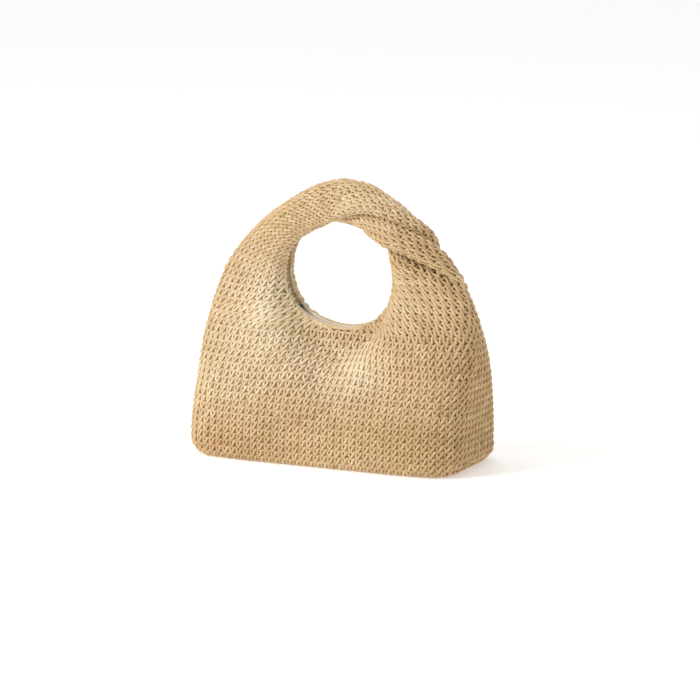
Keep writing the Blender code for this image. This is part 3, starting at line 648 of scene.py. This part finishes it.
def cloth_material(name, colour, scale=900.0, rough=0.85, bump_mm=0.12):
    """Plain weave from two crossed waves, with a little slub."""
    m, nt, nodes, links, bsdf = nodes_of(name)
    co = nodes.new("ShaderNodeTexCoord")
    waves = []
    for direction in ("X", "Z"):
        w = nodes.new("ShaderNodeTexWave")
        w.bands_direction = direction
        w.inputs["Scale"].default_value = scale / 10
        w.inputs["Distortion"].default_value = 1.2
        w.inputs["Detail"].default_value = 1.0
        links.new(co.outputs["Object"], w.inputs["Vector"])
        waves.append(w.outputs["Fac"])
    weave = math_node(nodes, links, "MAXIMUM", waves[0], waves[1])
    slub = nodes.new("ShaderNodeTexNoise")
    slub.inputs["Scale"].default_value = 60.0
    slub.inputs["Detail"].default_value = 4.0
    links.new(co.outputs["Object"], slub.inputs["Vector"])
    dark = tuple(c * 0.78 for c in colour)
    tint = mix_rgb(nodes, links, "MIX", weave, dark, colour)
    r = ramp(nodes, [(0.3, (0.90, 0.89, 0.86)), (0.7, (1.0, 1.0, 1.0))])
    links.new(slub.outputs[0], r.inputs[0])
    links.new(mix_rgb(nodes, links, "MULTIPLY", 1.0, tint, r.outputs[0]), bsdf.inputs["Base Color"])
    bsdf.inputs["Roughness"].default_value = rough
    bump = nodes.new("ShaderNodeBump")
    bump.inputs["Strength"].default_value = 0.6
    bump.inputs["Distance"].default_value = bump_mm * MM
    links.new(weave, bump.inputs["Height"])
    links.new(bump.outputs[0], bsdf.inputs["Normal"])
    bsdf.inputs["Sheen Weight"].default_value = 0.2
    return m


def metal_material(name, colour, rough=0.32):
    m, nt, nodes, links, bsdf = nodes_of(name)
    co = nodes.new("ShaderNodeTexCoord")
    n = nodes.new("ShaderNodeTexNoise")
    n.inputs["Scale"].default_value = 400.0
    n.inputs["Detail"].default_value = 5.0
    links.new(co.outputs["Object"], n.inputs["Vector"])
    r = ramp(nodes, [(0.35, tuple(c * 0.86 for c in colour)), (0.6, colour)])
    links.new(n.outputs[0], r.inputs[0])
    links.new(r.outputs[0], bsdf.inputs["Base Color"])
    mr = nodes.new("ShaderNodeMapRange")
    mr.inputs[3].default_value, mr.inputs[4].default_value = rough - 0.08, rough + 0.12
    links.new(n.outputs[0], mr.inputs[0])
    links.new(mr.outputs[0], bsdf.inputs["Roughness"])
    bsdf.inputs["Metallic"].default_value = 1.0
    return m


STRAW = straw_material("straw_yarn")
# darker copy of the straw for the backing: painted shade in the gaps between stitches
STRAW_SHADED_COPY = straw_material("straw_backing_painted_shade", 0.62)
LINING = cloth_material("lining_cotton", (0.93, 0.86, 0.72))
COTTON = cloth_material("cotton_tape", (0.80, 0.74, 0.62), 1400.0)
BOARD = cloth_material("base_board_fibre", (0.42, 0.33, 0.23), 300.0, 0.95, 0.05)
ZIP_TAPE = cloth_material("zip_tape_weave", (0.74, 0.66, 0.52), 1600.0)
COIL = cloth_material("zip_coil_nylon", (0.70, 0.62, 0.48), 2600.0, 0.45, 0.25)
STEEL = metal_material("snap_steel", (0.74, 0.71, 0.66))
MAGNET = metal_material("magnet_dark", (0.16, 0.16, 0.17), 0.5)

for name, mat in {
    "handle_core": COTTON, "handle_seam": COTTON, "base_seam": COTTON,
    "side_seam_left": COTTON, "side_seam_right": COTTON,
    "snap_patch_front": COTTON, "snap_patch_back": COTTON,
    "base_board": BOARD, "lining_base": LINING, "pocket_pouch": LINING,
    "snap_socket": STEEL, "snap_stud": STEEL, "snap_washer_front": STEEL, "snap_washer_back": STEEL,
    "snap_magnet": MAGNET, "zip_slider": STEEL, "zip_pull": STEEL, "zip_stop_left": STEEL, "zip_stop_right": STEEL,
    "zip_tape_lower": ZIP_TAPE, "zip_tape_upper": ZIP_TAPE, "zip_coil_lower": COIL, "zip_coil_upper": COIL,
}.items():
    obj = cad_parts[name]
    if not obj.material_slots:
        obj.data.materials.append(mat)
    for slot in obj.material_slots:
        slot.material = mat

# ------------------------------------------------------------------ stitches
# One stitch, seen from outside: x across (0 to 1), y up, h out of the surface.
# A long arm rises to the right and folds over a shorter one that falls; a
# second loop lies along the top of the row and closes most of the gap.
LEGS = np.array([
    (0.00, -0.50, -1.7),
    (0.10, -0.33, -0.3),
    (0.22, -0.08, 0.75),
    (0.36, 0.18, 1.1),
    (0.50, 0.42, 0.7),
    (0.60, 0.50, -0.6),
    (0.68, 0.36, -1.1),
    (0.76, 0.06, -0.4),
    (0.85, -0.22, -0.2),
    (0.94, -0.44, -1.1),
])
LOOPS = np.array([
    (0.00, 0.30, -1.6), (0.16, 0.34, -1.0), (0.34, 0.44, -2.0), (0.52, 0.60, -2.2), (0.74, 0.50, -0.9), (0.90, 0.36, -0.8),
])
INNER = np.array([
    (0.00, -0.12, -2.4), (0.25, -0.20, -2.9), (0.50, -0.08, -2.2), (0.75, 0.02, -2.8),
])
LEG_R, LOOP_R, INNER_R = 1.55, 1.4, 1.6
rng = np.random.default_rng(7)


def blob(p, cx, wx, cz, wz):
    return np.exp(-(((p[..., 0] - cx) / wx) ** 2) - (((p[..., 2] - cz) / wz) ** 2))


def painted_light_at(p):
    """Painted light: pale lit patches put into the straw's colour, strongest on the middle of the walls and the left
    shoulder."""
    c = blob(p, 5, 70, 112, 34) + 0.80 * blob(p, -88, 60, 192, 52) + 0.45 * blob(p, -120, 60, 105, 45)
    c = c + 0.35 * blob(p, 20, 90, 300, 35) + 0.30 * blob(p, 75, 45, 175, 40) + 0.10
    return np.clip(c, 0, 1)


def tone_light_shade_at(p):
    """Slow drift of the yarn's tone over the bag, with the painted light patches added, painted shade on the right
    side and at the foot, and a little darker towards the top of the handle."""
    x, z = p[..., 0], p[..., 2]
    # painted light from the lit patches; painted shade on the right side and at the foot; a little darker towards
    # the top of the handle
    painted_light_shade = 0.50 + 0.17 * painted_light_at(p) - 0.11 * ease(110, 172, x) * (1 - ease(190, 250, z)) - 0.02 * (1 - ease(40, 90, z)) - 0.03 * ease(215, 260, z)
    wave = 0.045 * np.sin(z / 17.0 + x / 60.0) + 0.045 * np.sin(x / 33.0 - z / 41.0 + 1.3)
    return painted_light_shade + wave


def columns(side, v):
    """Edges of the stitches of this row, as columns, from the free edge or the
    middle of the front out to the side line."""
    i = int(round(v / V_STEP))
    kmin, kmax = K_MIN[side][i], K_MAX[side][i]
    if v < V_STRAP:
        n = int(round(kmax))
        e = np.arange(n + 1, dtype=float)
        start = 15.0
        e = np.where(e > start, start + (e - start) * (kmax - start) / (n - start), e)
        return e
    e = np.arange(math.ceil(kmin + 0.35), FRONT_COLS + 1, dtype=float)
    return np.concatenate([[kmin - 0.05], e])


def row_path(side, face, v, template, jitter=0.0):
    """Path of one yarn along one row of one quarter, running to the right as
    seen from outside."""
    e = columns(side, v)
    outward_right = (side * face) < 0      # the right hand is away from the middle
    cells = list(zip(e[:-1], e[1:]))
    if not outward_right:
        cells = [(b, a) for a, b in cells[::-1]]
    m = len(template)
    n = len(cells)
    a = np.array([c[0] for c in cells])[:, None]
    w = np.array([c[1] - c[0] for c in cells])[:, None]
    k = (a + w * template[None, :, 0])
    shift = rng.normal(0, 1, (n, 3))
    vv = v + template[None, :, 1] * (1 + 0.05 * shift[:, :1]) + 0.02 * shift[:, 1:2]
    h = 0.85 * np.broadcast_to(template[None, :, 2], (n, m)) + 0.15 * shift[:, 2:3]
    p, nrm = sample(side, face, vv, k)
    if V_STRAP - 1.5 < v < V_HANDLE:
        p = keep_off_hole(p, side, face)
    # the width of each stitch, returned with the path
    span = np.abs(w[:, 0])
    path = (p + nrm * h[..., None]).reshape(-1, 3)
    tone = (tone_light_shade_at(p) + 0.085 * rng.normal(0, 1, (n, 1))).reshape(-1)
    nrm = nrm.reshape(-1, 3)
    if n:
        # the row runs on a little past its last stitch, into the next one
        ke = a[-1, 0] + w[-1, 0] * np.array([1.0, 1.10, 1.22])
        ve = v + np.interp([0.0, 0.10, 0.22], template[:, 0], template[:, 1])
        he = np.interp([0.0, 0.10, 0.22], template[:, 0], template[:, 2]) - 0.3
        pe, ne = sample(side, face, ve, ke)
        if V_STRAP - 1.5 < v < V_HANDLE:
            pe = keep_off_hole(pe, side, face)
        path = np.concatenate([path, pe + ne * he[:, None]])
        nrm = np.concatenate([nrm, ne])
        tone = np.concatenate([tone, np.full(3, tone[-1])])
    return path, nrm, tone, span


def smooth_path(path, nrm, tone, times=2):
    """More points on a smooth curve through the given ones."""
    n = len(path)
    t = np.arange(n, dtype=float)
    s = np.linspace(0, n - 1, (n - 1) * times + 1)
    i = np.clip(s.astype(int), 0, n - 2)
    f = (s - i)[:, None]
    p0, p1, p2, p3 = path[np.maximum(i - 1, 0)], path[i], path[i + 1], path[np.minimum(i + 2, n - 1)]
    out = 0.5 * ((2 * p1) + (-p0 + p2) * f + (2 * p0 - 5 * p1 + 4 * p2 - p3) * f**2 + (-p0 + 3 * p1 - 3 * p2 + p3) * f**3)
    nn = nrm[i] * (1 - f) + nrm[i + 1] * f
    return out, nn / np.linalg.norm(nn, axis=1)[:, None], np.interp(s, t, tone)


def add_row(yarns, side, face, v, bars=True):
    path, nrm, tone, _ = row_path(side, face, v, LEGS)
    if len(path) < 6:
        return
    path, nrm, tone = smooth_path(path, nrm, tone, 2)
    r = LEG_R * (1 + 0.05 * np.sin(np.arange(len(path)) * 0.9))
    yarns.add(path, nrm, r, tone)
    if bars:
        path, nrm, tone, _ = row_path(side, face, v, LOOPS)
        # the loops and the inner yarn lie deeper and are darkened: painted shade in the recesses
        yarns.add(path, nrm, LOOP_R, tone - 0.03)
        path, nrm, tone, _ = row_path(side, face, v, INNER)
        yarns.add(path, nrm, INNER_R, tone - 0.16)


def backing(name, rows, faces, inset=2.7, material=None):
    """Closed fabric under the yarn, in a darker copy of the straw: painted shade seen through the gaps between
    stitches.
    """
    verts, quads, tones = [], [], []
    count = 0
    for side in (-1, 1):
        for face in faces:
            lo, hi = rows
            vs = np.arange(lo, hi + 1e-6, 0.5)
            m = 45
            block = []
            for v in vs:
                i = int(round(v / V_STEP))
                kmin, kmax = K_MIN[side][i], K_MAX[side][i]
                if v > V_CLOSE:
                    kmin = K_CLOSE[side][i]
                k = np.linspace(kmin, kmax, m)
                p, n = sample(side, face, np.full(m, v), k)
                p = p - n * inset
                block.append(p)
            block = np.array(block)
            r = len(vs)
            idx = np.arange(r * m).reshape(r, m) + count
            q = np.stack([idx[:-1, :-1], idx[:-1, 1:], idx[1:, 1:], idx[1:, :-1]], -1).reshape(-1, 4)
            if side * face > 0:
                q = q[:, ::-1]
            verts.append(block.reshape(-1, 3))
            quads.append(q)
            # the backing is darkened further: painted shade
            tones.append(tone_light_shade_at(block.reshape(-1, 3)) - 0.15)
            count += r * m
    verts = np.concatenate(verts)
    verts[:, 2] = np.maximum(verts[:, 2], 0.3)
    mesh = new_mesh(name, verts, np.concatenate(quads))
    att = mesh.attributes.new("tone", "FLOAT", "POINT")
    att.data.foreach_set("value", np.concatenate(tones).astype(np.float32))
    # painted light: pale lit patches stored for the material
    att = mesh.attributes.new("painted_light", "FLOAT", "POINT")
    att.data.foreach_set("value", painted_light_at(verts).astype(np.float32))
    uv = mesh.uv_layers.new(name="yarn")
    co = verts[np.concatenate(quads).ravel()]
    uv.data.foreach_set("uv", np.stack([co[:, 0], co[:, 2] * 0.4], -1).ravel())
    obj = bpy.data.objects.new(name, mesh)
    bpy.context.scene.collection.objects.link(obj)
    mesh.materials.append(material or STRAW_SHADED_COPY)
    return obj


def worked(name, faces, rows, sides=(-1, 1)):
    y = Yarns(6)
    for side in sides:
        for face in faces:
            for r in range(rows[0], rows[1]):
                add_row(y, side, face, r + 0.5)
    return y.build(name, STRAW)


LOW_ROWS, STRAP_ROWS, TOP_ROWS = (0, 19), (19, 28), (28, ROWS_HALF)

pieces = {}
pieces["crochet_front"] = worked("crochet_front", (-1,), LOW_ROWS)
pieces["crochet_back"] = worked("crochet_back", (1,), LOW_ROWS)
pieces["crochet_straps"] = worked("crochet_straps", (-1, 1), STRAP_ROWS)
pieces["crochet_handle_left"] = worked("crochet_handle_left", (-1, 1), TOP_ROWS, (-1,))
pieces["crochet_handle_right"] = worked("crochet_handle_right", (-1, 1), TOP_ROWS, (1,))
pieces["backing_front"] = backing("backing_front", (0, 19), (-1,))
pieces["backing_back"] = backing("backing_back", (0, 19), (1,))
pieces["backing_straps"] = backing("backing_straps", (19, 28), (-1, 1))
pieces["backing_handle"] = backing("backing_handle", (28, ROWS_HALF), (-1, 1))


def cord_pair(yarns, path, nrm, radius, strand, pitch_mm, tone):
    """Two strands laid round each other along a path."""
    d = np.linalg.norm(np.diff(path, axis=0), axis=1)
    s = np.concatenate([[0], np.cumsum(d)])
    n = max(12, int(s[-1] / 1.3))
    at = np.linspace(0, s[-1], n)
    p = np.stack([np.interp(at, s, path[:, i]) for i in range(3)], -1)
    u = np.stack([np.interp(at, s, nrm[:, i]) for i in range(3)], -1)
    t = np.gradient(p, axis=0)
    t /= np.linalg.norm(t, axis=1)[:, None]
    b = np.cross(t, u)
    b /= np.linalg.norm(b, axis=1)[:, None]
    u = np.cross(b, t)
    for phase in (0.0, math.pi):
        a = at / pitch_mm * 2 * math.pi + phase
        q = p + radius * (np.cos(a)[:, None] * u + np.sin(a)[:, None] * b)
        yarns.add(q, u, strand, tone + 0.04 * np.sin(at / 7.0 + phase))


# ---------------------------------------------------------------- base fabric
def base_fabric():
    y = Yarns(6)
    depth = float(half_depth(6)) - 6
    rows = int(2 * depth // ROW)
    ys = (np.arange(rows) - (rows - 1) / 2) * (2 * depth / rows)
    n_exp = 6.5
    for yy in ys:
        w = (float(half_width(6)) - 6) * (1 - (abs(yy) / (depth + 6)) ** n_exp) ** (1 / n_exp)
        n = int(2 * w // PITCH)
        x0 = -w
        cell = 2 * w / n
        # the deeper loops of the base are darkened: painted shade in the recesses
        for template, rad, recess_shade in ((LEGS, LEG_R, 0.0), (LOOPS, LOOP_R, -0.1)):
            m = len(template)
            x = x0 + (np.arange(n)[:, None] + template[None, :, 0]) * cell
            py = yy - template[None, :, 1] * (2 * depth / rows) + 0 * x
            z = 2.9 - template[None, :, 2] + 0 * x
            path = np.stack([x + float(lean(0)), py, z], -1).reshape(-1, 3)
            nrm = np.tile([0, 0, -1.0], (len(path), 1))
            tone = tone_light_shade_at(path) + 0.06 * np.repeat(rng.normal(0, 1, n), m)
            y.add(path, nrm, rad, tone + recess_shade)
    return y.build("crochet_base", STRAW)


pieces["crochet_base"] = base_fabric()


def foot_cord():
    """Two laid strands round the foot, where wall and base meet."""
    y = Yarns(6)
    z = 2.6
    x, d, _ = quarter_arc(z, 1)
    quarter = np.stack([x, -d], -1)
    loop = np.concatenate([quarter, (quarter * [1, -1])[::-1][1:], (quarter * [-1, -1])[1:], (quarter * [-1, 1])[::-1][1:]])
    loop = np.concatenate([loop, loop[:2]])
    p = np.stack([loop[:, 0] + float(lean(z)), loop[:, 1], np.full(len(loop), z)], -1)
    n = p * [1 / 172.0, 1 / 74.0, 0]
    n /= np.linalg.norm(n, axis=1)[:, None]
    p = p - n * 1.6
    cord_pair(y, p, n, 1.0, 1.35, 10.0, 0.50)
    return y.build("crochet_foot", STRAW)


pieces["crochet_foot"] = foot_cord()


# --------------------------------------------------------------------- edges
def rim_path(face):
    """Along the free edge of one face, from the left strap by the bottom of
    the hole to the right strap."""
    left, right, nl, nr = [], [], [], []
    for side, store, ns in ((-1, left, nl), (1, right, nr)):
        for v in np.arange(math.floor(V_HANDLE) + 6.0, V_STRAP + 0.24, -0.25):
            i = int(round(v / V_STEP))
            p, n = sample(side, face, np.array([v]), np.array([K_MIN[side][i]]))
            store.append(p[0])
            ns.append(n[0])
    # the bottom of the hole, by angle
    mid, nm = [], []
    for side in (-1, 1):
        seq = np.linspace(-62, -90, 12) if side < 0 else np.linspace(-90, -62, 12)
        for a in seq:
            rr = float(hole_r(a, side))
            x = side * rr * math.cos(math.radians(a))
            z = HOLE_Z + rr * math.sin(math.radians(a))
            mid.append((x + float(lean(z)), face * float(wall_y(abs(x), z, side)), z))
            nm.append((0, face, 0.3))
    left = [p for p in left if p[2] > mid[0][2] + 1.5]
    right = [p for p in right if p[2] > mid[-1][2] + 1.5]
    path = np.array(left + mid + right[::-1])
    nrm = np.array(nl[: len(left)] + nm + nr[: len(right)][::-1])
    nrm /= np.linalg.norm(nrm, axis=1)[:, None]
    for _ in range(4):
        path[1:-1] = (path[:-2] + 2 * path[1:-1] + path[2:]) / 4
    return path, nrm


def rims():
    y = Yarns(6)
    for face in (-1, 1):
        path, nrm = rim_path(face)
        inner = path - nrm * 1.4
        cord_pair(y, inner, nrm, 0.95, 1.25, 10.0, tone_light_shade_at(inner).mean() + 0.05)
    return y.build("crochet_edge", STRAW)


pieces["crochet_edge"] = rims()


# -------------------------------------------------------------------- lining
def lining(name, face):
    """Sheet inside the wall, up to just under the mouth's edge."""
    vs = np.arange(1.25, 18.01, 0.5)
    m = 61
    blocks = []
    for side in (-1, 1):
        block = []
        for v in vs:
            i = int(round(v / V_STEP))
            kmax = K_MAX[side][i]
            k = np.linspace(0, kmax - 0.02, m)
            p, n = sample(side, face, np.full(m, v), k)
            flat = n.copy()
            flat[:, 2] = 0
            flat /= np.linalg.norm(flat, axis=1)[:, None]
            block.append(p - flat * 6.7)
        block = np.array(block)
        blocks.append(block[:, ::-1] if side < 0 else block[:, 1:])
    g = np.concatenate(blocks, axis=1)
    return g


def sheet_object(name, g, thick, material, flip):
    r, c = g.shape[:2]
    idx = np.arange(r * c).reshape(r, c)
    q = np.stack([idx[:-1, :-1], idx[:-1, 1:], idx[1:, 1:], idx[1:, :-1]], -1).reshape(-1, 4)
    if flip:
        q = q[:, ::-1]
    mesh = new_mesh(name, g.reshape(-1, 3), q)
    obj = bpy.data.objects.new(name, mesh)
    bpy.context.scene.collection.objects.link(obj)
    mesh.materials.append(material)
    mod = obj.modifiers.new("thick", "SOLIDIFY")
    mod.thickness = thick * MM
    mod.offset = 0.0
    return obj


for face, label in ((-1, "front"), (1, "back")):
    g = lining(label, face)
    pieces["lining_cloth_" + label] = sheet_object("lining_cloth_" + label, g, 0.8, LINING, face > 0)


FACING_BAND = (-0.4, 12.5)     # from the mouth's edge into the bag


def facing(face):
    """Cream facing band that shows just inside the edge of the mouth."""
    angles = {-1: np.linspace(-30, -90, 40), 1: np.linspace(-90, -34, 40)[1:]}
    rows = []
    for depth in np.linspace(*FACING_BAND, 8):
        line = []
        for side in (-1, 1):
            for a in angles[side]:
                rr = float(hole_r(a, side)) + depth
                x = rr * math.cos(math.radians(a))
                z = HOLE_Z + rr * math.sin(math.radians(a))
                y = float(wall_y(x, max(z, RIM_Z - 12), side)) - 6.0
                line.append((side * x + float(lean(z)), face * y, z))
        rows.append(line)
    return np.array(rows)


for face, label in ((-1, "front"), (1, "back")):
    g = facing(face)
    pieces["facing_" + label] = sheet_object("facing_" + label, g, 0.7, LINING, face < 0)

# ------------------------------------------------------------ riding, standing
for name in ("crochet_front", "crochet_back", "crochet_base", "crochet_foot", "backing_front", "backing_back", "lining_cloth_front", "lining_cloth_back"):
    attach(pieces[name], "bag")
for name in ("crochet_handle_left", "crochet_handle_right", "backing_handle"):
    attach(pieces[name], "handle")
for name in ("crochet_straps", "backing_straps", "crochet_edge", "facing_front", "facing_back"):
    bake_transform(pieces[name])

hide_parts("front_panel")
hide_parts("back_panel")
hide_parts("base_panel")
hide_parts("handle_left")
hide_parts("handle_right")
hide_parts("mouth_edge_front", "mouth_edge_back")
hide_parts("lining_front")
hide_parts("lining_back")


# -------------------------------------------------------------- camera, lights
AZ, EL = math.radians(24.8), math.radians(11.7)
SCALE = 1.17                      # mm of the bag for one pixel at its centre
DIST = 8000.0
right = Vector((math.cos(AZ), math.sin(AZ), 0))
up = Vector((-math.sin(AZ) * math.sin(EL), math.cos(AZ) * math.sin(EL), math.cos(EL)))
back = right.cross(up)
target = right * ((350 - 343.5) * SCALE) + up * ((456.2 - 350) * SCALE)
cam_data = bpy.data.cameras.new("camera")
cam = bpy.data.objects.new("camera", cam_data)
bpy.context.scene.collection.objects.link(cam)
cam_data.sensor_width = 36.0
cam_data.lens = 36.0 * DIST / (700 * SCALE)
cam_data.clip_end = 80.0
cam.matrix_world = Matrix.Translation((target + back * DIST) * MM) @ Matrix((
    (right.x, up.x, back.x, 0), (right.y, up.y, back.y, 0), (right.z, up.z, back.z, 0), (0, 0, 0, 1)))
bpy.context.scene.camera = cam

bpy.context.scene.view_settings.view_transform = "Standard"
world = bpy.data.worlds.new("studio")
bpy.context.scene.world = world
world.use_nodes = True
world.node_tree.nodes["Background"].inputs[0].default_value = (1.0, 0.985, 0.965, 1)
world.node_tree.nodes["Background"].inputs[1].default_value = 0.68


def area_light(name, where, size, power, colour=(1, 1, 1)):
    d = bpy.data.lights.new(name, "AREA")
    d.shape = "DISK"
    d.size = size
    d.energy = power
    d.color = colour
    o = bpy.data.objects.new(name, d)
    bpy.context.scene.collection.objects.link(o)
    o.location = where
    o.rotation_euler = (Vector((0, 0, 0.15)) - Vector(where)).to_track_quat("-Z", "Y").to_euler()


area_light("key", (-1.5, -1.8, 1.9), 0.8, 42, (1.0, 0.975, 0.94))
area_light("top", (-0.2, 0.3, 2.2), 1.2, 7, (1.0, 0.99, 0.98))

floor_mesh = bpy.data.meshes.new("floor")
floor_mesh.from_pydata([(-6, -6, 0), (6, -6, 0), (6, 6, 0), (-6, 6, 0)], [], [(0, 1, 2, 3)])
floor = bpy.data.objects.new("floor", floor_mesh)
bpy.context.scene.collection.objects.link(floor)
fm, _, fn, fl, fb = nodes_of("floor_pale")
fb.inputs["Base Color"].default_value = (0.93, 0.93, 0.93, 1)
fb.inputs["Roughness"].default_value = 0.6
fb.inputs["Emission Color"].default_value = (1.0, 1.0, 1.0, 1)
fb.inputs["Emission Strength"].default_value = 0.29
floor_mesh.materials.append(fm)

backdrop_mesh = bpy.data.meshes.new("backdrop")
shell = bmesh.new()
bmesh.ops.create_uvsphere(shell, u_segments=48, v_segments=24, radius=20.0)
shell.to_mesh(backdrop_mesh)
shell.free()
backdrop = bpy.data.objects.new("backdrop", backdrop_mesh)
bpy.context.scene.collection.objects.link(backdrop)
bm, _, _, _, bb = nodes_of("backdrop_pale")
bb.inputs["Base Color"].default_value = (0, 0, 0, 1)
bb.inputs["Specular IOR Level"].default_value = 0.0
bb.inputs["Emission Color"].default_value = (1.0, 1.0, 1.0, 1)
bb.inputs["Emission Strength"].default_value = 1.0
backdrop_mesh.materials.append(bm)
backdrop.visible_diffuse = False
backdrop.visible_glossy = False
backdrop.visible_transmission = False
backdrop.visible_shadow = False

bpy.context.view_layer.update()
